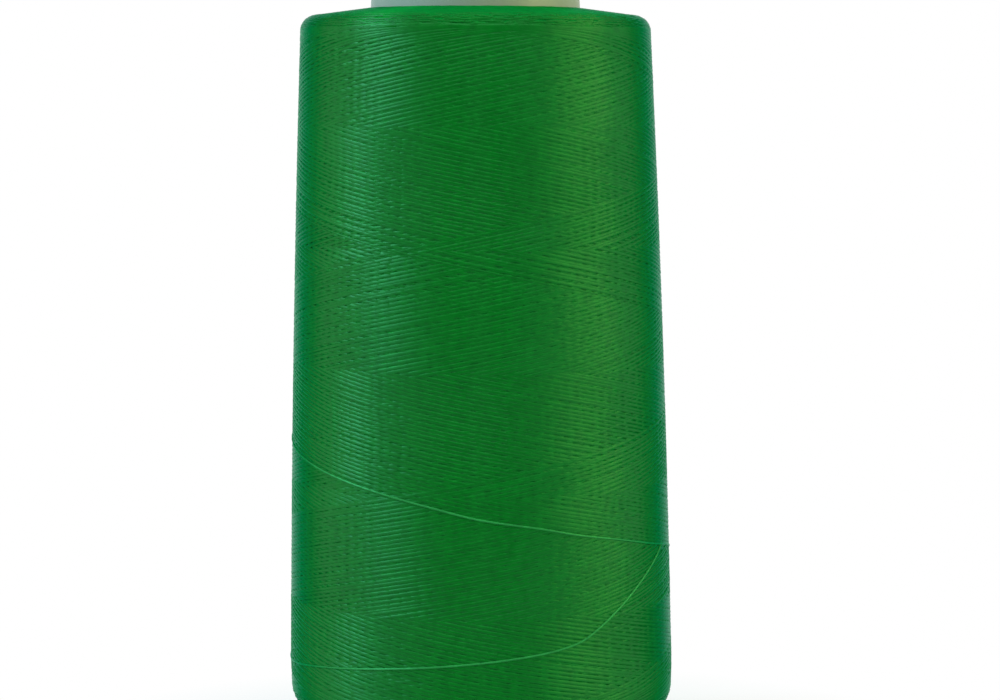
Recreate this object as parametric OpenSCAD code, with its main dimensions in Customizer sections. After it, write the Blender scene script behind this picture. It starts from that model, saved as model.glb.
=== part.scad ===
// Cone of sewing thread: a moulded tapered tube, the thread wound on it,
// and the outer turns of that thread with its tucked end.
// Millimetres, +Z up, origin at the centre of the face that the cone stands on.

/* [Cone] */
// Height of bare cone below the wound thread
foot_show = 8; // [5:0.5:20]
// Height of bare cone above the wound thread
nose_show = 12; // [6:0.5:25]
// Outer diameter of the cone's wall at the base
cone_base_d = 47; // [42:0.5:50]
// Outer diameter of the cone's wall at the nose
cone_nose_d = 31.2; // [28:0.2:36]
// Thickness of the cone's wall
cone_wall = 1.6; // [1:0.1:2.4]

/* [Nose] */
// Diameter of the round hole in the nose
nose_hole_d = 22; // [14:0.5:24]
// Height of the straight wall of the nose hole
nose_land_h = 3; // [2:0.25:6]
// Radius of the nose's rounded outer edge
nose_edge_r = 1.8; // [0.8:0.1:2]
// Radius of the rounded edge at the mouth of the nose hole
nose_mouth_r = 0.8; // [0.3:0.1:1]

/* [Foot] */
// How far the foot rim stands out from the cone's wall
rim_out = 1.2; // [0.6:0.1:2]
// Height of the foot rim
rim_h = 2.4; // [1.5:0.1:4]
// Radius of the foot rim's rounded edges
rim_edge_r = 0.4; // [0.2:0.1:0.6]
// Width of the notch in the foot that catches a loose end
notch_w = 1.4; // [0.8:0.1:2.5]
// Height of the notch above the standing face
notch_h = 4.5; // [2:0.5:5]

/* [Wound thread] */
// Height of the wound thread at its outer surface
wound_h = 110; // [80:1:150]
// Diameter of the wound thread at its lower end
wound_base_d = 60.6; // [58:0.2:70]
// Diameter of the wound thread at its upper end
wound_top_d = 54.5; // [50:0.5:60]
// How far the side swells out past a straight taper
side_swell = 0.4; // [0:0.1:1]
// Radius of the rounded shoulder at the upper end
top_shoulder_r = 2.5; // [1.5:0.1:5]
// Radius of the rounded shoulder at the lower end
base_shoulder_r = 4.5; // [2:0.1:6]
// How far each end face swells out towards the cone
end_swell = 1.1; // [0.3:0.1:2]
// Clearance between the cone and the first layer of thread
wound_clear = 0.1; // [0.05:0.05:0.2]

/* [Outer turns] */
// Thickness of one outer turn
turn_d = 0.6; // [0.5:0.05:0.7]
// Clearance between two turns where one crosses over the other
cross_clear = 0.5; // [0.45:0.05:0.6]
// Clearance between the outer turns and the thread under them
turn_clear = 0.1; // [0.05:0.05:0.2]
// Turns that one pass makes from end to end, less the step that spreads the passes
pass_turns = 3; // [2:1:3]
// Number of downward passes, which the upward passes lie between
down_passes = 3; // [2:1:4]
// Angle from the front, to the right, at which the last downward pass starts
last_pass_at = -25; // [-90:5:90]

/* [Loose end] */
// Angle short of a whole pass at which the loose turn leaves the last downward pass
pass_left = 210; // [180:15:420]
// Height by which the loose turn sags below the point where it leaves
loose_sag = 15.7; // [8:0.1:18]
// Height by which the loose turn is still low before its final rise to the tuck
loose_rise = 11; // [5:0.5:13]
// Clearance between the turn that the loose turn leaves and the end tucked in under it
tuck_clear = 1; // [0.8:0.1:2]
// Radius of the bend with which an end turns into the wound thread
end_bend_r = 0.8; // [0.6:0.1:0.9]

/* [Hidden] */
$fn = 96;

cone_color = [0.86, 0.87, 0.83];
wound_color = [0.05, 0.36, 0.15];
turn_color = [0.09, 0.45, 0.20];

// Heights of the whole cone and of the wound thread's ends
cone_h = foot_show + wound_h + nose_show;
wound_z0 = foot_show;
wound_z1 = foot_show + wound_h;

// Steps in one quarter of a rounded edge, where its radius is under 1 and where it isn't
FINE_EDGE_STEPS = 2;
EDGE_STEPS = 4;
// Steps on the swelling side
SIDE_STEPS = 5;

// Rings of the turn's tube in one turn, and corners of each ring
TURN_RINGS = 24;
RING_SIDES = 6;
// Rings over which a pass turns back, and over which it changes layer
BACK_RINGS = 2;
LAYER_RINGS = 2;
// Rings in the bend at each end of the tube
BEND_RINGS = 4;
// Sample points on one piece of the path, where the least gap is measured
GAP_SAMPLES = 6;

// ---- Cone ----

cone_slope = (cone_base_d - cone_nose_d) / 2 / cone_h;
function cone_r(z) = cone_base_d / 2 - cone_slope * z;
function cone_inner_r(z) = cone_r(z) - cone_wall * sqrt(1 + cone_slope * cone_slope);

// Points on an arc about a centre [radius, height], from angle a0 to a1
function arc(centre, r, a0, a1) = let (steps = r < 1 ? FINE_EDGE_STEPS : EDGE_STEPS)
    [for (i = [0 : steps])
        let (a = a0 + (a1 - a0) * i / steps)
        centre + r * [cos(a), sin(a)]];

// The nose's flange is as deep as the straight wall and the rounded mouth together
flange_z = cone_h - nose_mouth_r - nose_land_h;
// Under the flange the inside runs out to the wall at 45 degrees
flange_foot_z = flange_z - (cone_inner_r(flange_z) - nose_hole_d / 2);

function cone_profile() = let (rim_r = cone_r(0) + rim_out) concat(
    arc([rim_r - rim_edge_r, rim_edge_r], rim_edge_r, -90, 0),
    arc([rim_r - rim_edge_r, rim_h - rim_edge_r], rim_edge_r, 0, 90),
    [[cone_r(rim_h), rim_h]],
    arc([cone_r(cone_h) - nose_edge_r, cone_h - nose_edge_r], nose_edge_r, 0, 90),
    arc([nose_hole_d / 2 + nose_mouth_r, cone_h - nose_mouth_r], nose_mouth_r, 90, 180),
    [
        [nose_hole_d / 2, flange_z],
        [cone_inner_r(flange_foot_z), flange_foot_z],
        [cone_inner_r(0), 0],
    ]
);

module cone_core() {
    color(cone_color) difference() {
        rotate_extrude() polygon(cone_profile());
        translate([-notch_w / 2, cone_inner_r(0) - cone_wall, -notch_h])
            cube([notch_w, 2 * (cone_wall + rim_out) + cone_wall, 2 * notch_h]);
    }
}

// ---- Wound thread ----

// Depth that the two layers of outer turns take up inside the outer surface
turns_depth = turn_clear + 2 * turn_d + cross_clear;

// Radius of the plain core under the outer turns
function core_r(z) = let (f = (z - wound_z0) / wound_h)
    (wound_base_d + (wound_top_d - wound_base_d) * f) / 2
    + side_swell * 4 * f * (1 - f) - turns_depth;

// A shoulder takes up no more than nine tenths of the thread's depth at that end
function shoulder_r(r, z) = min(r, 0.9 * (core_r(z) - cone_r(z)));
base_edge_r = shoulder_r(base_shoulder_r, wound_z0);
top_edge_r = shoulder_r(top_shoulder_r, wound_z1);
side_z0 = wound_z0 + base_edge_r;
side_z1 = wound_z1 - top_edge_r;

function wound_profile() = concat(
    [[cone_r(wound_z0 - end_swell) + wound_clear, wound_z0 - end_swell]],
    arc([core_r(side_z0) - base_edge_r, side_z0], base_edge_r, -90, 0),
    [for (i = [1 : SIDE_STEPS - 1])
        let (z = side_z0 + (side_z1 - side_z0) * i / SIDE_STEPS) [core_r(z), z]],
    arc([core_r(side_z1) - top_edge_r, side_z1], top_edge_r, 0, 90),
    [[cone_r(wound_z1 + end_swell) + wound_clear, wound_z1 + end_swell]]
);

module wound_thread() {
    color(wound_color) rotate_extrude() polygon(wound_profile());
}

// ---- Outer turns ----

// Each pass falls short of whole turns by this many rings, so that the passes spread evenly
step_rings = TURN_RINGS / (2 * down_passes);
pass_rings = pass_turns * TURN_RINGS - step_rings;
last_pass_ring = (2 * down_passes - 1) * pass_rings;
loose_ring = last_pass_ring + pass_rings - round(pass_left * TURN_RINGS / 360);
end_ring = loose_ring + TURN_RINGS;

// Heights of the middle of a turn above the core: upward, downward and loose
low_lift = turn_clear + turn_d / 2;
high_lift = low_lift + turn_d + cross_clear;
loose_lift = high_lift + turn_d + cross_clear;

function clamp01(x) = min(max(x, 0), 1);
function mix(a, b, f) = a + (b - a) * f;

// Rings from the nearest end of travel, rounded off where the pass turns back
function rounded(q) = q < BACK_RINGS ? (q * q / BACK_RINGS + BACK_RINGS) / 2 : q;

// Height of a pass at ring i, from 0 at the lower end of travel to 1 at the upper end
function travel(i) = let (
        pass = floor(i / pass_rings),
        past = i - pass * pass_rings,
        q = rounded(min(past, pass_rings - past)) - BACK_RINGS / 2,
        f = q / (pass_rings - BACK_RINGS),
        rising = past < pass_rings / 2 ? f : 1 - f
    ) pass % 2 == 0 ? rising : 1 - rising;

function pass_z(i) = mix(side_z0, side_z1, travel(i));

// Upward passes lie low and downward passes high, and they change over at the turn back
function pass_lift(i) = let (
        back = round(i / pass_rings),
        f = clamp01((i - back * pass_rings + LAYER_RINGS) / (2 * LAYER_RINGS))
    ) mix(low_lift, high_lift, back % 2 == 0 ? 1 - f : f);

// The loose turn sags, comes back up and is tucked in just below the turn that it left
tuck_drop = turn_d + tuck_clear;
function loose_drop_at(f) = lookup(f, [
    [0, 0],
    [0.18, 0.42 * loose_sag],
    [0.36, 0.78 * loose_sag],
    [0.55, loose_sag],
    [0.86, loose_rise],
    [1, tuck_drop],
]);
function loose_drop(f) = let (s = 1 / TURN_RINGS, e = min(s, f, 1 - f))
    (loose_drop_at(f - e) + loose_drop_at(f) + loose_drop_at(f + e)) / 3;

function turn_z(i) = i <= loose_ring
    ? pass_z(i)
    : pass_z(loose_ring) - loose_drop((i - loose_ring) / TURN_RINGS);
function turn_lift(i) = i <= loose_ring
    ? pass_lift(i)
    : mix(high_lift, loose_lift, clamp01((i - loose_ring) / 3));

function turn_angle(i) = last_pass_at - 90 + (i - last_pass_ring) * 360 / TURN_RINGS;

// Outward normal of the core's side at an angle and height
function side_normal(a, z) = let (
        tilt = atan(core_r(z - 0.5) - core_r(z + 0.5))
    ) [cos(a) * cos(tilt), sin(a) * cos(tilt), sin(tilt)];

// Rings stand out far enough for the straight run between two of them to clear the core
chord_gain = 1 / cos(180 / TURN_RINGS);
function ring_centre(i) = let (
        a = turn_angle(i),
        z = turn_z(i),
        r = (core_r(z) + turn_lift(i)) * chord_gain
    ) [r * cos(a), r * sin(a), z];

function unit(v) = v / norm(v);

first_ring = -LAYER_RINGS;
centres = [for (i = [first_ring : end_ring]) ring_centre(i)];
count = len(centres);
function run_dir(k) = unit(centres[min(k + 1, count - 1)] - centres[max(k - 1, 0)]);

// A frame is [centre, direction of run, sideways]; sideways lies along the core's surface
function along_frame(k) = let (
        i = first_ring + k,
        dir = run_dir(k)
    ) [centres[k], dir, unit(cross(dir, side_normal(turn_angle(i), turn_z(i))))];

// An end bends through a right angle and runs straight to the surface of the core.
// way is -1 for the first end and 1 for the last.
function end_frames(k, way) = let (
        frame = along_frame(k),
        dir = frame[1] * way,
        side = frame[2],
        out = cross(side, frame[1]),
        middle = frame[0] - end_bend_r * out,
        height = norm([frame[0].x, frame[0].y]) - core_r(frame[0].z),
        foot = middle + end_bend_r * dir - (height - end_bend_r) * out,
        bend = [for (b = [1 : BEND_RINGS]) let (a = 90 * b / BEND_RINGS)
            [
                middle + end_bend_r * (cos(a) * out + sin(a) * dir),
                way * (cos(a) * dir - sin(a) * out),
                side
            ]]
    ) concat(bend, [[foot, -way * out, side]]);

function reversed(list) = [for (i = [len(list) - 1 : -1 : 0]) list[i]];

first_end = reversed(end_frames(0, -1));
last_end = end_frames(count - 1, 1);
frames = concat(first_end, [for (k = [0 : count - 1]) along_frame(k)], last_end);

function ring_points(frame) = let (up = cross(frame[2], frame[1]))
    [for (s = [0 : RING_SIDES - 1]) let (a = 360 * s / RING_SIDES)
        frame[0] + turn_d / 2 * (cos(a) * frame[2] + sin(a) * up)];

module tube(frames) {
    last = len(frames) - 1;
    points = [for (frame = frames) each ring_points(frame)];
    sides = [for (k = [0 : last - 1], s = [0 : RING_SIDES - 1])
        let (
            n = (s + 1) % RING_SIDES,
            a = k * RING_SIDES + s,
            b = k * RING_SIDES + n,
            c = a + RING_SIDES,
            d = b + RING_SIDES
        ) each [[a, b, d], [a, d, c]]];
    caps = [for (s = [1 : RING_SIDES - 2]) each [
        [0, s + 1, s],
        [last * RING_SIDES, last * RING_SIDES + s, last * RING_SIDES + s + 1]
    ]];
    polyhedron(points, concat(sides, caps));
}

// Least gap of the turns to themselves. Two turns come close only within one sector between
// rings, so each piece of the path is measured against those that share its sector.
samples = [for (k = [0 : count - 2])
    [for (s = [0 : GAP_SAMPLES]) mix(centres[k], centres[k + 1], s / GAP_SAMPLES)]];
near_turns = [for (k = [0 : count - 2], m = [k + TURN_RINGS : TURN_RINGS : count - 2])
    if (abs(centres[k].z - centres[m].z) < 4)
        min([for (p = samples[k], q = samples[m]) norm(p - q)])];
// The bent ends are measured against every turn but the one that they continue
end_gaps = [for (k = [0 : count - 2])
    for (frame = concat(k > TURN_RINGS / 2 ? first_end : [],
                        k < count - TURN_RINGS / 2 ? last_end : []))
        if (abs(centres[k].z - frame[0].z) < 4)
            min([for (p = samples[k]) norm(p - frame[0])])];
least_gap = min(concat(near_turns, end_gaps)) - turn_d;

module outer_turns() {
    echo(str("Least gap of the outer turns to themselves: ", least_gap, " mm"));
    echo(str("Loops: ", (end_ring - first_ring) / TURN_RINGS, ", rings: ", len(frames)));
    color(turn_color) tube(frames);
}

cone_core();
wound_thread();
outer_turns();
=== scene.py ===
"""Looks of a cone of sewing thread: strands wound in crossing passes on a moulded cone."""

import bisect
import math
import random
from itertools import accumulate

import bmesh
import bpy
from mathutils import Matrix, Vector, noise


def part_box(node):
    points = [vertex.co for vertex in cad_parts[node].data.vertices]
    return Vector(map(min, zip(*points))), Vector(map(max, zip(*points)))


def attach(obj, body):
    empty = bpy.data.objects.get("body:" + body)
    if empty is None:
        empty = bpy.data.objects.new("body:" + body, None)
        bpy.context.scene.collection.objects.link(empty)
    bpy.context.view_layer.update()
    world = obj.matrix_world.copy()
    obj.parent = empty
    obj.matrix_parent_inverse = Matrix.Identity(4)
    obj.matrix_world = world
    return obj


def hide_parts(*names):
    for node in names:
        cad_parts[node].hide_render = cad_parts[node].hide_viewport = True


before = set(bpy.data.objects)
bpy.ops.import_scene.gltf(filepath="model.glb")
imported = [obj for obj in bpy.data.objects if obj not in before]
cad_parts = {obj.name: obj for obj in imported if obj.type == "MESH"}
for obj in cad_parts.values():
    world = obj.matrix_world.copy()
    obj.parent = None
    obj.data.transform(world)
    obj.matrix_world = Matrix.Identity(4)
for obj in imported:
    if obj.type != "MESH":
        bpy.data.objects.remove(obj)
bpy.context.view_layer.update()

MM = 0.001
TURN = 2 * math.pi

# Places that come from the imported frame
CONE_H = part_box("cone_core")[1].z
BODY_LOW, BODY_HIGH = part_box("wound_thread")

# Outline of the wound thread, which has the sizes of the part's source, but ends a little
# lower at the top. Its ends swell out towards the cone.
END_SWELL = 1.1 * MM
TOP_SWELL = 1.15 * MM
TOP_LOWER = 0.6 * MM
WOUND_Z0 = BODY_LOW.z + END_SWELL
WOUND_Z1 = BODY_HIGH.z - END_SWELL - TOP_LOWER
WOUND_BASE_R = 30.3 * MM
WOUND_TOP_R = 27.25 * MM
SIDE_SWELL = 0.4 * MM
TOP_SHOULDER_R = 2.5 * MM
BASE_SHOULDER_R = 4.5 * MM
SIDE_Z0 = WOUND_Z0 + BASE_SHOULDER_R
SIDE_Z1 = WOUND_Z1 - TOP_SHOULDER_R
# The wound thread draws in a little near its foot, and its turns lie a little aslant
FOOT_IN = 0.35 * MM
FOOT_FROM = 9 * MM
ASLANT = 0.010
# Heights at which the ends of the wound thread meet the cone
BASE_JOIN = BODY_LOW.z
TOP_JOIN = WOUND_Z1 + TOP_SWELL
# Steps on each shoulder of the outline and on its side
SHOULDER_STEPS = 24
SIDE_STEPS = 40
SIDE_FIRST = 1 + SHOULDER_STEPS

# Cone
CONE_BASE_R = 23.5 * MM
CONE_NOSE_R = 15.6 * MM
CONE_WALL = 1.6 * MM
FOOT_EDGE_R = 0.3 * MM
RIM_OUT = 1.2 * MM
RIM_H = 2.4 * MM
RIM_EDGE_R = 0.4 * MM
RIM_FILLET_R = 0.3 * MM
NOSE_HOLE_R = 11.0 * MM
NOSE_EDGE_R = 1.8 * MM
NOSE_MOUTH_R = 0.8 * MM
FLANGE_T = 3.8 * MM
FLANGE_EDGE_R = 0.2 * MM
# Where the flange's sloping underside meets the wall, the corner is cut off by this much in
# and this much down
UNDER_IN = 0.1 * MM
UNDER_DOWN = 0.3 * MM
# Heights of the points on the straight side of the cone in mm, and of the lowest inside
CONE_SIDE = (3.2, 8, 40, 80, 118, 127.8)
INSIDE_LOW = 1.0 * MM
# Steps round the cone, and the angle in degrees from which an edge is sharp
CONE_STEPS = 240
SHARP_FROM = 35
# The notch, and the depth and edge radius of the block that cuts it
NOTCH_W = 1.4 * MM
NOTCH_H = 4.5 * MM
NOTCH_DEEP = 8 * MM
NOTCH_EDGE_R = 0.5 * MM

# The winding: width of a strand, its thickness as a share of that, depth from one sheet of
# strands to the next, and room over the newest sheet
STRAND_D = 0.70 * MM
STRAND_FLAT = 0.36
SHEET_STEP = 0.036 * MM
SHEET_ROOM = 0.02 * MM
# Passes of each way in one cycle, turns in one pass, and way along the outline in one turn
CYCLE_PASSES = 57.5
PASS_TURNS = 3 - 1 / (2 * CYCLE_PASSES)
PITCH = 36.7 * MM
# A pass bends over this many turns at each of its ends, and the straight parts of two passes
# would meet this far past the side
BACK_TURNS = 0.18
BACK_PAST_SIDE = 3.6 * MM
# Where the newest pass starts, in turns from the front, counted to the right as all places
# round the cone are, and the points on one turn
NEWEST_AT = -25 / 360
TURN_STEPS = 80
# How far a strand rises where it crosses others, which it does in full this far from the ends
# of the side
CROSSING_RISE = 0.008 * MM
CROSSING_FADE = 8 * MM
# Sways of a strand along the outline, and one into it: how far, how often a turn, and the row
# of the noise that it follows
SLOW_SWAY = (0.45 * MM, 0.6, 7.0)
QUICK_SWAY = (0.05 * MM, 4.0, 3.0)
DEEP_SWAY = (0.03 * MM, 2.2, 11.0)
# Points along a strand for each unit of its grain map
GRAIN_STEPS = 100

# Turns back of older passes on the ends of the wound thread: width, flatness, points on one,
# how deep its two ends dive, and the least slope that this is worked out for
END_D = 0.50 * MM
END_FLAT = 0.45
END_STEPS = 8
END_DIVE = 0.55 * MM
END_SLOPE = 0.03
# From one ring of them to the next, the number in a ring, how unevenly they lie as a share of
# the space from one to the next, along the outline and round it, and how near the cone they come
END_RING = 0.27 * MM
END_TIPS = 40
END_UNEVEN_ALONG = 0.5
END_UNEVEN_ROUND = 0.4
END_STOP = 0.2 * MM
# A turn back falls this far short of the place where those straight parts would meet
BACK_SHORT = BACK_TURNS / 2 * PITCH

# The loose turn: its thickness, how far it stands out, and the place where it leaves the wound
# path. The pass that ends in it comes up from under older strands over RISE_TURNS, begins to
# stand out at LIFT_AT, over LIFT_TURNS, and stops swaying over its last EVEN_TURNS.
LOOSE_D = 0.34 * MM
LOOSE_LIFT = 0.08 * MM
LOOSE_AT = 2 - 30 / 360
LOOSE_STEPS = 220
RISE_TURNS = 0.1
LIFT_AT = 1.3
LIFT_TURNS = 0.4
EVEN_TURNS = 0.2
# Its end dives this deep, over one part in TUCK_PARTS of its way
TUCK_DEPTH = 1.2 * MM
TUCK_PARTS = 110

# The thread under the strands: depth under the outline, and how far it reaches into the cone
LAYERS_DEPTH = 0.20 * MM
LAYERS_IN = 0.3 * MM


def mix(a, b, f):
    return a + (b - a) * f


def ease(x):
    x = min(max(x, 0.0), 1.0)
    return x * x * (3 - 2 * x)


def rounded_corner(r, z, radius, start, end, steps=6):
    """Points of a rounded edge about a centre, from one angle to another in degrees."""
    angles = [math.radians(mix(start, end, i / steps)) for i in range(steps + 1)]
    return [(r + radius * math.cos(a), z + radius * math.sin(a)) for a in angles]


# ---- Camera, light and floor ----

# Width and focal length in pixels, pixels per metre at the target, sensor width in mm, degrees
# that the camera looks down and leans, and the target that it looks at
PICTURE_W = 1000
FOCAL_PX = 3070
PX_PER_M = 6355
SENSOR = 36
LOOK_DOWN = 4.84
LEAN = -0.49
TARGET = Vector((3.38 * MM, 0, 65.0 * MM))

# Lamps: name, place, width and height in metres, watts and colour
LAMPS = [
    ("left_softbox", (-0.63, -0.09, 0.63), (0.30, 0.45), 6.2, (0.48, 0.78, 0.97)),
    ("right_softbox", (0.704, -0.215, 0.378), (0.52, 0.52), 3.3, (0.98, 0.98, 0.32)),
    ("overhead", (0.0, -0.35, 0.90), (0.8, 0.8), 3.2, (1, 1, 1)),
]
WORLD_LEVEL = 0.3

# Half the floor's width in metres, and how far the shadow on it reaches
FLOOR_HALF = 4
SHADOW_R = 0.08


def add_camera():
    data = bpy.data.cameras.new("camera")
    data.sensor_width = SENSOR
    data.lens = FOCAL_PX / PICTURE_W * SENSOR
    cam = bpy.data.objects.new("camera", data)
    bpy.context.collection.objects.link(cam)
    down = math.radians(LOOK_DOWN)
    away = FOCAL_PX / PX_PER_M
    cam.location = TARGET + away * Vector((0, -math.cos(down), math.sin(down)))
    look = (TARGET - cam.location).to_track_quat("-Z", "Y").to_matrix().to_4x4()
    lean = Matrix.Rotation(math.radians(LEAN), 4, "Z")
    cam.matrix_world = Matrix.Translation(cam.location) @ look @ lean
    bpy.context.scene.camera = cam


def add_lamp(name, place, size, power, colour):
    """A rectangular area lamp that faces the middle of the cone."""
    data = bpy.data.lights.new(name, "AREA")
    data.shape = "RECTANGLE"
    data.size, data.size_y = size
    data.energy = power
    data.color = colour
    lamp = bpy.data.objects.new(name, data)
    lamp.location = place
    middle = Vector((0, 0, CONE_H / 2))
    lamp.rotation_euler = (middle - Vector(place)).to_track_quat("-Z", "Y").to_euler()
    bpy.context.collection.objects.link(lamp)


def add_world():
    """Plain dim light from all sides, from a world that is shown as white."""
    world = bpy.data.worlds.new("studio")
    bpy.context.scene.world = world
    world.use_nodes = True
    nt = world.node_tree
    background = nt.nodes["Background"]
    background.inputs["Color"].default_value = (1, 1, 1, 1)
    level = stretched(nt, shown_only_white(nt), (0.0, 1.0), (WORLD_LEVEL, 1.0))
    nt.links.new(level, background.inputs["Strength"])


def add_floor():
    bm = bmesh.new()
    bmesh.ops.create_grid(bm, x_segments=1, y_segments=1, size=FLOOR_HALF)
    mesh = bpy.data.meshes.new("floor")
    bm.to_mesh(mesh)
    bm.free()
    floor = bpy.data.objects.new("floor", mesh)
    bpy.context.collection.objects.link(floor)
    mesh.materials.append(floor_material())


# ---- What the materials share ----


def new_material(name):
    mat = bpy.data.materials.new(name)
    mat.use_nodes = True
    return mat, mat.node_tree, mat.node_tree.nodes["Principled BSDF"]


def set_inputs(node, values):
    for socket, value in values.items():
        node.inputs[socket].default_value = value


def calc(nt, operation, *values):
    """A math node on sockets and plain numbers."""
    node = nt.nodes.new("ShaderNodeMath")
    node.operation = operation
    for socket, value in zip(node.inputs, values):
        if isinstance(value, (int, float)):
            socket.default_value = value
        else:
            nt.links.new(value, socket)
    return node.outputs[0]


def stretched(nt, value, taken, given):
    """A value that runs over the range `taken`, made to run over the range `given`."""
    node = nt.nodes.new("ShaderNodeMapRange")
    names = ("From Min", "From Max", "To Min", "To Max")
    set_inputs(node, dict(zip(names, (*taken, *given))))
    nt.links.new(value, node.inputs["Value"])
    return node.outputs["Result"]


def place_on(nt):
    """The three sockets of a place on the object."""
    place = nt.nodes.new("ShaderNodeTexCoord")
    xyz = nt.nodes.new("ShaderNodeSeparateXYZ")
    nt.links.new(place.outputs["Object"], xyz.inputs["Vector"])
    return xyz.outputs


# Nearly all of a noise texture's values lie between these two
NOISE_SPAN = (0.3, 0.7)


def noise_value(nt, scale, detail):
    """A noise laid on the object, with its scale in patches per metre."""
    place = nt.nodes.new("ShaderNodeTexCoord")
    tex = nt.nodes.new("ShaderNodeTexNoise")
    set_inputs(tex, {"Scale": scale, "Detail": detail})
    nt.links.new(place.outputs["Object"], tex.inputs["Vector"])
    return tex.outputs["Fac"]


def add_shade(nt, shader, colour, patches, uneven):
    """A colour whose shade varies with a noise. Returns the socket that the colour is on."""
    shade = nt.nodes.new("ShaderNodeVectorMath")
    shade.operation = "SCALE"
    shade.inputs[0].default_value = colour
    amount = stretched(nt, patches, NOISE_SPAN, (1 - uneven, 1 + uneven))
    nt.links.new(amount, shade.inputs["Scale"])
    nt.links.new(shade.outputs["Vector"], shader.inputs["Base Color"])
    return shade.inputs[0]


def add_bump(nt, shader, height, distance, strength=1.0):
    bump = nt.nodes.new("ShaderNodeBump")
    set_inputs(bump, {"Strength": strength, "Distance": distance})
    nt.links.new(height, bump.inputs["Height"])
    nt.links.new(bump.outputs["Normal"], shader.inputs["Normal"])


def shown_only_white(nt):
    """A value that is 1 for what the camera, a mirror or a clear material shows."""
    rays = nt.nodes.new("ShaderNodeLightPath").outputs
    seen = calc(nt, "MAXIMUM", rays["Is Camera Ray"], rays["Is Glossy Ray"])
    return calc(nt, "MAXIMUM", seen, rays["Is Transmission Ray"])


# ---- Thread ----

DYE = (0.0015, 0.129, 0.0095)
# The loose turn's dye, painted lighter than the thread's as a painted highlight where it catches
# the light
LOOSE_PAINTED_HIGHLIGHT = (0.018, 0.23, 0.046)
# Heights between which the loose turn's painted highlight, a lighter copy of the dye, gives way
# to the plain dye of the pass above it
PAINTED_HIGHLIGHT_HEIGHTS = (52 * MM, 62 * MM)
# Patches of shade: patches per metre and detail, and how far they differ from the dye
PATCHES = (700, 2.0)
UNEVEN = 0.12

SATIN = {
    "Roughness": 0.38,
    "Specular IOR Level": 0.36,
    "Specular Tint": (0.27, 0.50, 0.52, 1),
    "Sheen Weight": 0.25,
    "Sheen Roughness": 0.5,
    "Sheen Tint": (0.0, 0.9, 0.18, 1),
}

# How much of the thread's gloss has the colour of its dye, seen from the front to the edge.
# Dead on it has little, which is all that is left of this once the material is baked.
LUSTRE = [(0.0, 0.1), (0.004, 0.92), (0.11, 0.15), (0.3, 0.18), (0.44, 0.5), (0.55, 0.93),
          (0.68, 1.0), (0.88, 0.85), (0.95, 1.0)]


def crossing_height(nt):
    """Height of a strand as it rides over the strands that cross under it: a wave for the
    falling passes and one for the rising passes, both counted round the cone and along it."""
    x, y, z = place_on(nt)
    round_cone = calc(nt, "ARCTAN2", x, calc(nt, "MULTIPLY", y, -1))
    along = calc(nt, "MULTIPLY", z, TURN / PITCH)
    waves = []
    for way in ("ADD", "SUBTRACT"):
        count = calc(nt, "MULTIPLY", calc(nt, way, round_cone, along), CYCLE_PASSES)
        waves.append(calc(nt, "COSINE", count))
    # The passes turn back near both ends, where they don't cross in this even way
    middle = calc(nt, "ABSOLUTE", calc(nt, "SUBTRACT", z, (SIDE_Z0 + SIDE_Z1) / 2))
    inward = calc(nt, "SUBTRACT", (SIDE_Z1 - SIDE_Z0) / 2, middle)
    even = calc(nt, "MAXIMUM", calc(nt, "DIVIDE", inward, CROSSING_FADE), 0.0)
    return calc(nt, "MULTIPLY", calc(nt, "ADD", *waves), calc(nt, "MINIMUM", even, 1.0))


def painted_highlight_by_height(nt, lower, upper):
    """A lower colour, here a painted highlight, that turns into the upper one higher up."""
    blend = nt.nodes.new("ShaderNodeMixRGB")
    set_inputs(blend, {"Color1": (*lower, 1), "Color2": (*upper, 1)})
    height = place_on(nt)["Z"]
    nt.links.new(stretched(nt, height, PAINTED_HIGHLIGHT_HEIGHTS, (0.0, 1.0)), blend.inputs["Fac"])
    return blend.outputs["Color"]


def add_lustre(nt, shader):
    side = nt.nodes.new("ShaderNodeLayerWeight")
    lustre = nt.nodes.new("ShaderNodeValToRGB")
    stops = lustre.color_ramp.elements
    while len(stops) < len(LUSTRE):
        stops.new(0.5)
    for stop, (facing, level) in zip(stops, LUSTRE):
        stop.position = facing
        stop.color = (level, level, level, 1)
    nt.links.new(side.outputs["Facing"], lustre.inputs["Fac"])
    nt.links.new(lustre.outputs["Color"], shader.inputs["Metallic"])


def spread_gloss(nt, shader):
    """Make the gloss of a strand spread across it, by its grain map."""
    grain = nt.nodes.new("ShaderNodeTangent")
    grain.direction_type = "UV_MAP"
    grain.uv_map = "grain"
    nt.links.new(grain.outputs["Tangent"], shader.inputs["Tangent"])
    set_inputs(shader, {"Anisotropic": 0.88, "Anisotropic Rotation": 0.25})


def thread_material(name, lower_painted_highlight=None, stranded=True):
    """Dyed thread: a soft satin, a little uneven in shade along each strand. Its lower dye, a
    lighter copy painted on as a highlight, takes over low down. stranded thread is modelled
    strand by strand."""
    mat, nt, shader = new_material(name)
    set_inputs(shader, SATIN)
    colour = add_shade(nt, shader, DYE, noise_value(nt, *PATCHES), UNEVEN)
    if lower_painted_highlight:
        # Low down the loose turn gets its painted highlight, a lighter copy of the dye
        nt.links.new(painted_highlight_by_height(nt, lower_painted_highlight, DYE), colour)
    if stranded:
        spread_gloss(nt, shader)
    add_lustre(nt, shader)
    add_bump(nt, shader, crossing_height(nt), CROSSING_RISE)
    return mat


# ---- Plastic and floor ----

# The plastic's own colour, darkened as painted shade and greened as a painted bounce of light
# from the thread
PLASTIC_WITH_PAINTED_SHADE_AND_BOUNCE = (0.27, 0.35, 0.275)
ROUGHNESS_SPAN = (0.36, 0.52)
# Noises on the plastic: patches per metre, and detail
CLOUDS = (90, 4.0)
HANDLING = (400, 3.0)
STIPPLE = (5000, 1.0)
CLOUDS_UNEVEN = 0.05
STIPPLE_RISE = 0.02 * MM
STIPPLE_STRENGTH = 0.4


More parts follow.
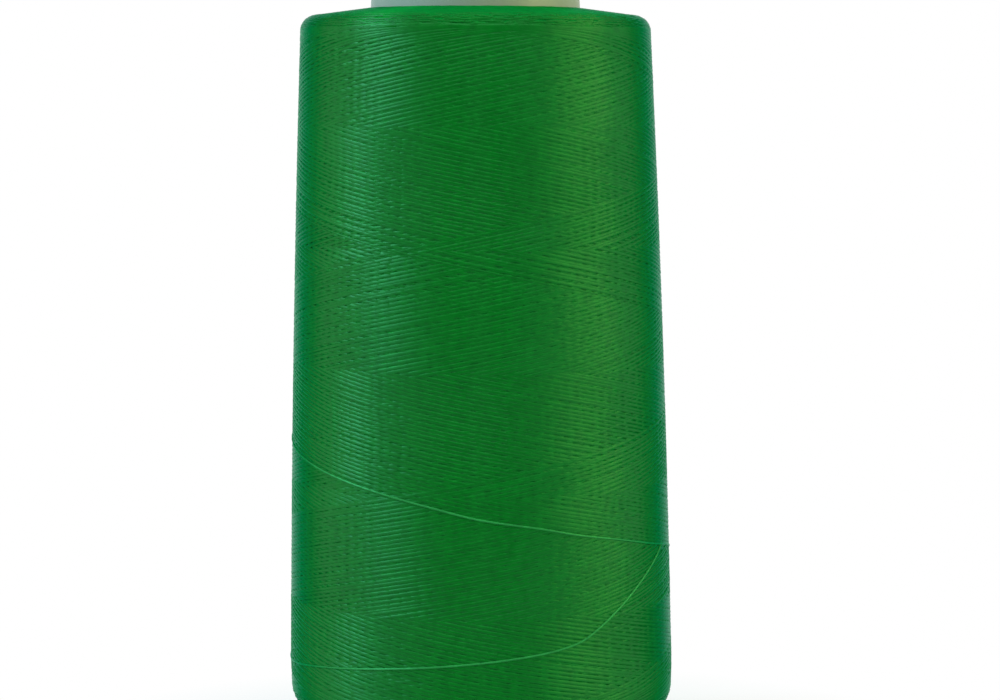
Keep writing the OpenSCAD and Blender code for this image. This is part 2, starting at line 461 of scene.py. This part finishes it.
def plastic_material():
    """Moulded plastic: a faint cloudiness, and a fine stipple that takes the gloss off. Its
    colour is the plastic's own, darkened by painted shade and greened by a painted bounce from
    the thread.
    """
    mat, nt, shader = new_material("cone_plastic")
    add_shade(nt, shader, PLASTIC_WITH_PAINTED_SHADE_AND_BOUNCE, noise_value(nt, *CLOUDS), CLOUDS_UNEVEN)
    roughness = stretched(nt, noise_value(nt, *HANDLING), NOISE_SPAN, ROUGHNESS_SPAN)
    nt.links.new(roughness, shader.inputs["Roughness"])
    add_bump(nt, shader, noise_value(nt, *STIPPLE), STIPPLE_RISE, STIPPLE_STRENGTH)
    return mat


def floor_material():
    """A matt floor that keeps the shadow near the object and fades to plain white."""
    mat, nt, shader = new_material("floor")
    set_inputs(shader, {
        "Base Color": (0.85, 0.85, 0.85, 1),
        "Roughness": 1.0,
        "Specular IOR Level": 0.0,
    })
    white = nt.nodes.new("ShaderNodeEmission")
    white.inputs["Strength"].default_value = 1.0
    near = nt.nodes.new("ShaderNodeTexGradient")
    near.gradient_type = "SPHERICAL"
    place = nt.nodes.new("ShaderNodeTexCoord")
    size = nt.nodes.new("ShaderNodeMapping")
    size.inputs["Scale"].default_value = (1 / SHADOW_R, 1 / SHADOW_R, 1)
    nt.links.new(place.outputs["Object"], size.inputs["Vector"])
    nt.links.new(size.outputs["Vector"], near.inputs["Vector"])
    far = calc(nt, "SUBTRACT", shown_only_white(nt), near.outputs["Fac"])
    far.node.use_clamp = True
    blend = nt.nodes.new("ShaderNodeMixShader")
    nt.links.new(far, blend.inputs["Fac"])
    nt.links.new(shader.outputs["BSDF"], blend.inputs[1])
    nt.links.new(white.outputs["Emission"], blend.inputs[2])
    nt.links.new(blend.outputs["Shader"], nt.nodes["Material Output"].inputs["Surface"])
    return mat


# ---- Outline of the wound thread ----


def side_r(z):
    f = (z - WOUND_Z0) / (WOUND_Z1 - WOUND_Z0)
    drawn_in = FOOT_IN * ease(1 - (z - WOUND_Z0) / FOOT_FROM)
    return mix(WOUND_BASE_R, WOUND_TOP_R, f) + SIDE_SWELL * 4 * f * (1 - f) - drawn_in


def cone_r(z):
    return mix(CONE_BASE_R, CONE_NOSE_R, z / CONE_H)


def wound_outline():
    """Points (r, z) from the cone round the lower end, up the side and back to the cone."""
    low = side_r(SIDE_Z0) - BASE_SHOULDER_R
    high = side_r(SIDE_Z1) - TOP_SHOULDER_R
    heights = [mix(SIDE_Z0, SIDE_Z1, i / SIDE_STEPS) for i in range(1, SIDE_STEPS)]
    points = [(cone_r(BASE_JOIN), BASE_JOIN)]
    points += rounded_corner(low, SIDE_Z0, BASE_SHOULDER_R, -90, 0, SHOULDER_STEPS)
    points += [(side_r(z), z) for z in heights]
    points += rounded_corner(high, SIDE_Z1, TOP_SHOULDER_R, 0, 90, SHOULDER_STEPS)
    points.append((cone_r(TOP_JOIN), TOP_JOIN))
    return points


# The outline, and the distance along it to each of its points
OUTLINE = wound_outline()
RUN = list(accumulate(map(math.dist, OUTLINE, OUTLINE[1:]), initial=0.0))


def run_at(z):
    """Distance along the outline to a height on its side."""
    for i in range(SIDE_FIRST, SIDE_FIRST + SIDE_STEPS + 1):
        z0, z1 = OUTLINE[i][1], OUTLINE[i + 1][1]
        if z0 <= z <= z1:
            return mix(RUN[i], RUN[i + 1], (z - z0) / (z1 - z0))
    raise ValueError(z)


def outline_at(run):
    """Point (r, z) on the outline and its outward normal (r, z)."""
    i = min(max(bisect.bisect_right(RUN, run) - 1, 0), len(OUTLINE) - 2)
    (r0, z0), (r1, z1) = OUTLINE[i], OUTLINE[i + 1]
    span = RUN[i + 1] - RUN[i]
    f = (run - RUN[i]) / span
    return mix(r0, r1, f), mix(z0, z1, f), (z1 - z0) / span, (r0 - r1) / span


def under_outline(run, depth):
    r, z, nr, nz = outline_at(run)
    return r - depth * nr, z - depth * nz


def at_turn(turn, r, z):
    """The point at a radius and a height, a number of turns round from the front."""
    x = r * math.sin(TURN * turn)
    return (x, -r * math.cos(TURN * turn), z - ASLANT * x)


# ---- Strands ----

# The straight parts of the passes would meet at these two places along the outline
RUN_TOP = run_at(SIDE_Z1) + BACK_PAST_SIDE
RUN_BASE = RUN_TOP - PASS_TURNS * PITCH


def fallen(x):
    """Turns of travel below the upper end, x passes after the newest downward pass starts."""
    q = (x - math.floor(x)) * PASS_TURNS
    near = min(q, PASS_TURNS - q)
    if near < BACK_TURNS:
        near = (near * near / BACK_TURNS + BACK_TURNS) / 2
    run = near if q < PASS_TURNS / 2 else PASS_TURNS - near
    return run if math.floor(x) % 2 == 0 else PASS_TURNS - run


def sheets_over(age, f, rising):
    """Sheets of strands that lie over a strand. Age is in cycles before the newest pass, and
    f is the place between the crossings of the newest passes of the two ways. A strand goes
    under a sheet over the width of one pass."""
    cycle = math.floor(age)
    own = age - cycle
    one = 1 / CYCLE_PASSES
    if not rising:
        under = ease((f - 1 + own + one) / one) * ease((1 - f) / one)
    elif f > own + one:
        under = ease((f - 1 + one) / one)
    else:
        under = ease((own + one - f) / one)
    return 2 * cycle + under


def sway(turn, far, often, row):
    """A smooth way from side to side, `far` at most and `often` times a turn."""
    return far * noise.noise(Vector((turn * often, row, 0.0)))


def drift(turn):
    """How far a strand lies from its even place, along the outline."""
    return sway(turn, *SLOW_SWAY) + sway(turn, *QUICK_SWAY)


def strand_point(turn, run, depth):
    """A point of a strand under the outline, and the way out of the wound thread there."""
    nr, nz = outline_at(run)[2:]
    return at_turn(turn, *under_outline(run, depth)), at_turn(turn, nr, nz)


def wound_point(x):
    """A point of the wound strand, x passes after the newest downward pass starts."""
    turn = NEWEST_AT + x * PASS_TURNS
    h = fallen(x)
    rising = math.floor(x) % 2 == 1
    newer = -(math.floor(x) + rising) / 2
    sheets = sheets_over(newer / CYCLE_PASSES, (2 * h) % 1.0, rising)
    depth = STRAND_FLAT * STRAND_D / 2 + SHEET_STEP * sheets + SHEET_ROOM
    depth += sway(turn, *DEEP_SWAY)
    return strand_point(turn, RUN_TOP - h * PITCH + drift(turn), depth)


def wound_line(first, last):
    """Points along the strand from `first` to `last`, in passes. Each is taken a hair early,
    so that the place where a pass turns back counts as the end of the older one."""
    steps = round((last - first) * PASS_TURNS * TURN_STEPS)
    return [wound_point(mix(first, last, i / steps) - 1e-9) for i in range(steps + 1)]


def add_strands(name, lines, diameter, sides, material, flat=1.0):
    """A tube along each line of points, as one mesh. The strands are pressed flat on the
    wound thread: flat is their thickness over their width."""
    curve = bpy.data.curves.new(name, "CURVE")
    curve.dimensions = "3D"
    curve.bevel_depth = diameter / 2
    curve.bevel_resolution = (sides - 4) // 2
    for line in lines:
        spline = curve.splines.new("POLY")
        spline.points.add(len(line) - 1)
        spline.points.foreach_set("co", [c for p, out in line for c in (*p, 1.0)])
        spline.use_smooth = True
    tube = bpy.data.objects.new(name, curve)
    bpy.context.collection.objects.link(tube)
    bpy.context.view_layer.update()
    mesh = bpy.data.meshes.new_from_object(tube)
    bpy.data.objects.remove(tube)
    mesh.name = name
    places = [place for line in lines for place in line]
    if flat < 1:
        press_flat(mesh, places, flat)
    lay_grain(mesh, len(places))
    close_ends(mesh)
    return add_piece(name, mesh, material)


def press_flat(mesh, places, flat):
    """Bring each ring of a tube's vertices nearer to its line, along the way out."""
    ring = len(mesh.vertices) // len(places)
    co = [0.0] * (3 * len(mesh.vertices))
    mesh.vertices.foreach_get("co", co)
    at = 0
    for (x, y, z), (nx, ny, nz) in places:
        for _ in range(ring):
            out = (co[at] - x) * nx + (co[at + 1] - y) * ny + (co[at + 2] - z) * nz
            out *= 1 - flat
            co[at] -= out * nx
            co[at + 1] -= out * ny
            co[at + 2] -= out * nz
            at += 3
    mesh.vertices.foreach_set("co", co)
    mesh.update()


def lay_grain(mesh, places):
    """A UV map that runs along each strand, which its gloss follows."""
    ring = len(mesh.vertices) // places
    at = [0] * len(mesh.loops)
    mesh.loops.foreach_get("vertex_index", at)
    uv = [c for i in at for c in (i // ring / GRAIN_STEPS, i % ring / ring)]
    mesh.uv_layers.new(name="grain").uv.foreach_set("vector", uv)


def close_ends(mesh):
    """Fill the open ends of the tubes."""
    bm = bmesh.new()
    bm.from_mesh(mesh)
    bmesh.ops.holes_fill(bm, edges=[e for e in bm.edges if e.is_boundary], sides=0)
    bm.to_mesh(mesh)
    bm.free()


def add_piece(name, mesh, material):
    mesh.materials.clear()
    mesh.materials.append(material)
    piece = bpy.data.objects.new(name, mesh)
    bpy.context.collection.objects.link(piece)
    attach(piece, "root")
    return piece


def add_outer_strands(material):
    """Two cycles of passes, each in two pieces. Half a cycle has as many passes of both ways
    as a whole one has of each."""
    half = round(CYCLE_PASSES)
    for i in range(4):
        line = wound_line(-(i + 1) * half, -i * half)
        piece = add_strands(f"outer_strands_{i + 1}", [line], STRAND_D, 6, material, STRAND_FLAT)
        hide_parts("outer_turns")


# The loose turn's own way, on from the place where it leaves the wound path: degrees from
# the front, and height in mm
LOOSE_WAY = [
    (-14, 43.9), (0, 42.2), (18, 40.7), (30, 39.4), (45, 38.1), (64, 36.3), (85, 34.6),
    (130, 28.5), (180, 22.8), (230, 18.8), (275, 16.8), (288, 17.0), (310, 18.1), (330, 19.1),
    (360, 20.7), (376, 21.7), (385, 22.5), (392, 23.6), (405, 27.6), (412, 29.9), (420, 32.4),
    (427, 34.5), (432, 36.3), (435, 37.4),
]


def loose_height(keys, turn):
    """Height of the loose turn on a smooth curve through its keys of (turn, height)."""
    i = min(max(bisect.bisect_right([k[0] for k in keys], turn) - 1, 0), len(keys) - 2)
    (t0, z0), (t1, z1) = keys[i], keys[i + 1]
    before, after = keys[max(i - 1, 0)], keys[min(i + 2, len(keys) - 1)]
    span = t1 - t0
    climb0 = span * (z1 - before[1]) / (t1 - before[0])
    climb1 = span * (after[1] - z0) / (after[0] - t0)
    f = (turn - t0) / span
    return ((2 * f**3 - 3 * f**2 + 1) * z0 + (f**3 - 2 * f**2 + f) * climb0
            + (3 * f**2 - 2 * f**3) * z1 + (f**3 - f**2) * climb1)


def newest_run(turn):
    """Where the newest pass lies along the outline."""
    even = RUN_TOP - fallen((turn - NEWEST_AT) / PASS_TURNS) * PITCH
    return even + drift(turn) * ease((LOOSE_AT - turn) / EVEN_TURNS)


def newest_pass():
    """Points of the newest pass, from its start to the place where it comes loose."""
    wound = LOOSE_AT - NEWEST_AT
    steps = round(wound * TURN_STEPS)
    line = []
    for i in range(steps + 1):
        turn = NEWEST_AT + wound * i / steps
        proud = LOOSE_D / 2 - LOOSE_LIFT * ease((turn - LIFT_AT) / LIFT_TURNS)
        depth = mix(STRAND_D, proud, ease((turn - NEWEST_AT) / RISE_TURNS))
        line.append(strand_point(turn, newest_run(turn), depth))
    return line


def slack_turn():
    """Points of the loose turn, on from there to the end that is tucked in under itself."""
    keys = [(LOOSE_AT - 2, outline_at(newest_run(LOOSE_AT))[1])]
    keys += [(degrees / 360, height * MM) for degrees, height in LOOSE_WAY]
    line = []
    for i in range(1, LOOSE_STEPS + 1):
        turn = mix(keys[0][0], keys[-1][0], i / LOOSE_STEPS)
        tucked = ease(1 - TUCK_PARTS * (1 - i / LOOSE_STEPS))
        depth = LOOSE_D / 2 - LOOSE_LIFT + TUCK_DEPTH * tucked
        line.append(strand_point(turn, run_at(loose_height(keys, turn)), depth))
    return line


def add_loose_turn(material):
    piece = add_strands("loose_turn", [newest_pass() + slack_turn()], LOOSE_D, 8, material)
    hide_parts("outer_turns")


def end_line(run, turn, way):
    """One turn back of an older pass on an end of the wound thread. It dives under at both
    ends of the line. way is 1 at the upper end and -1 at the lower."""
    nr, nz = outline_at(run)[2:]
    r, z = under_outline(run, END_FLAT * END_D / 2)
    steep = PITCH / BACK_TURNS / 2
    slope = max(way * nz, END_SLOPE)
    reach = min(math.sqrt(END_DIVE / slope / steep), BACK_TURNS)
    line = []
    for i in range(END_STEPS + 1):
        q = mix(-reach, reach, i / END_STEPS)
        line.append((at_turn(turn + q, r, z - way * steep * q * q), at_turn(turn + q, nr, nz)))
    return line


def add_end_turns(name, first, last, way, material):
    """Rings of turns back on one end, from the run `first` to the run `last`."""
    draw = random.Random(name)
    length = abs(last - first)
    lines = []
    for i in range(int(length / END_RING)):
        for k in range(END_TIPS):
            along = i + draw.uniform(-END_UNEVEN_ALONG, END_UNEVEN_ALONG)
            round_cone = k + draw.uniform(-END_UNEVEN_ROUND, END_UNEVEN_ROUND)
            run = mix(first, last, along * END_RING / length)
            run = min(max(run, min(first, last)), max(first, last))
            lines.append(end_line(run, round_cone / END_TIPS, way))
    piece = add_strands(name, lines, END_D, 4, material, END_FLAT)
    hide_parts("wound_thread")


# ---- Turned pieces ----


def add_turned(name, profile, material, steps=192):
    """A closed ring turned from an outline of (r, z) points."""
    bm = bmesh.new()
    verts = [bm.verts.new((r, 0, z)) for r, z in profile]
    edges = [bm.edges.new((a, b)) for a, b in zip(verts, verts[1:] + verts[:1])]
    bmesh.ops.spin(bm, geom=verts + edges, axis=(0, 0, 1), cent=(0, 0, 0),
                   angle=TURN, steps=steps, use_merge=True)
    bmesh.ops.remove_doubles(bm, verts=bm.verts, dist=1e-7)
    bmesh.ops.recalc_face_normals(bm, faces=bm.faces)
    for face in bm.faces:
        face.smooth = True
    mesh = bpy.data.meshes.new(name)
    bm.to_mesh(mesh)
    bm.free()
    return add_piece(name, mesh, material)


def cone_outline():
    """The cone's wall as (r, z) points, from the foot up the outside and down the inside."""
    slope = (CONE_BASE_R - CONE_NOSE_R) / CONE_H
    wall = CONE_WALL * math.hypot(1, slope)
    rim_r = CONE_BASE_R + RIM_OUT
    rim_in = rim_r - RIM_EDGE_R
    fillet_r, fillet_z = cone_r(RIM_H) + RIM_FILLET_R, RIM_H + RIM_FILLET_R
    nose_r = CONE_NOSE_R - NOSE_EDGE_R
    mouth_r = NOSE_HOLE_R + NOSE_MOUTH_R
    mouth_z = CONE_H - NOSE_MOUTH_R
    edge = FLANGE_EDGE_R
    flange_z = CONE_H - FLANGE_T
    under_flange = flange_z - (cone_r(flange_z) - wall - NOSE_HOLE_R)
    points = rounded_corner(rim_in, RIM_EDGE_R, RIM_EDGE_R, -90, 0)
    points += rounded_corner(rim_in, RIM_H - RIM_EDGE_R, RIM_EDGE_R, 0, 90)
    points += rounded_corner(fillet_r, fillet_z, RIM_FILLET_R, 270, 180, 4)
    points += [(cone_r(z * MM), z * MM) for z in CONE_SIDE]
    points += rounded_corner(nose_r, CONE_H - NOSE_EDGE_R, NOSE_EDGE_R, 0, 90, 10)
    points += [(nose_r - edge, CONE_H), (mouth_r + edge, CONE_H)]
    points += rounded_corner(mouth_r, mouth_z, NOSE_MOUTH_R, 90, 180)
    points += rounded_corner(NOSE_HOLE_R + edge, flange_z + edge, edge, 180, 225, 3)
    points += [(cone_r(under_flange) - wall - UNDER_IN, under_flange + UNDER_IN)]
    inside = (under_flange - UNDER_DOWN, CONE_H / 2, INSIDE_LOW)
    points += [(cone_r(z) - wall, z) for z in inside]
    foot_r = cone_r(0) - wall + FOOT_EDGE_R
    points += rounded_corner(foot_r, FOOT_EDGE_R, FOOT_EDGE_R, 180, 270, 4)
    return points


def runs_through_above(edge):
    """Whether an edge of the notch's block is an upper one that runs through the wall."""
    a, b = (vert.co for vert in edge.verts)
    return min(a.z, b.z) > 0 and abs(a.y - b.y) > MM


def cut_notch(cone):
    """The slot in the foot that catches a loose end."""
    bm = bmesh.new()
    bmesh.ops.create_cube(bm, size=1)
    bmesh.ops.scale(bm, verts=bm.verts, vec=(NOTCH_W, NOTCH_DEEP, 2 * NOTCH_H))
    bmesh.ops.translate(bm, verts=bm.verts, vec=(0, CONE_BASE_R, 0))
    edges = [edge for edge in bm.edges if runs_through_above(edge)]
    bmesh.ops.bevel(bm, geom=edges, offset=NOTCH_EDGE_R, affect="EDGES", segments=4,
                    profile=0.5, material=-1)
    mesh = bpy.data.meshes.new("notch")
    bm.to_mesh(mesh)
    bm.free()
    cutter = bpy.data.objects.new("notch", mesh)
    bpy.context.collection.objects.link(cutter)
    cut = cone.modifiers.new("notch", "BOOLEAN")
    cut.object = cutter
    cut.operation = "DIFFERENCE"
    bpy.context.view_layer.update()
    whole = cone.evaluated_get(bpy.context.evaluated_depsgraph_get())
    cone.data = bpy.data.meshes.new_from_object(whole)
    cone.modifiers.clear()
    bpy.data.objects.remove(cutter)


def add_cone(material):
    """The moulded cone, with its foot rim, nose hole and notch."""
    piece = add_turned("cone_tube", cone_outline(), material, steps=CONE_STEPS)
    cut_notch(piece)
    piece.data.set_sharp_from_angle(angle=math.radians(SHARP_FROM))
    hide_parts("cone_core")


def add_inner_layers(material):
    """The thread under the strands that are modelled one by one."""
    profile = [(cone_r(BASE_JOIN) - LAYERS_IN, BASE_JOIN + LAYERS_DEPTH)]
    profile += [under_outline(run, LAYERS_DEPTH) for run in RUN[1:-1]]
    profile.append((cone_r(TOP_JOIN) - LAYERS_IN, TOP_JOIN - LAYERS_DEPTH))
    piece = add_turned("inner_layers", profile, material)
    for vert in piece.data.vertices:
        vert.co.z -= ASLANT * vert.co.x
    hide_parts("wound_thread")


add_camera()
for lamp in LAMPS:
    add_lamp(*lamp)
add_world()
add_floor()

thread = thread_material("thread_green")
loose = thread_material("thread_loose_painted_highlight", LOOSE_PAINTED_HIGHLIGHT)
under = thread_material("thread_under", stranded=False)
plastic = plastic_material()

add_outer_strands(thread)
add_loose_turn(loose)
add_end_turns("top_end_turns", RUN_TOP - BACK_SHORT, RUN[-1] - END_STOP, 1, thread)
add_end_turns("base_end_turns", RUN_BASE + BACK_SHORT, END_STOP, -1, thread)
add_inner_layers(under)
add_cone(plastic)

bpy.context.scene.view_settings.view_transform = "Standard"
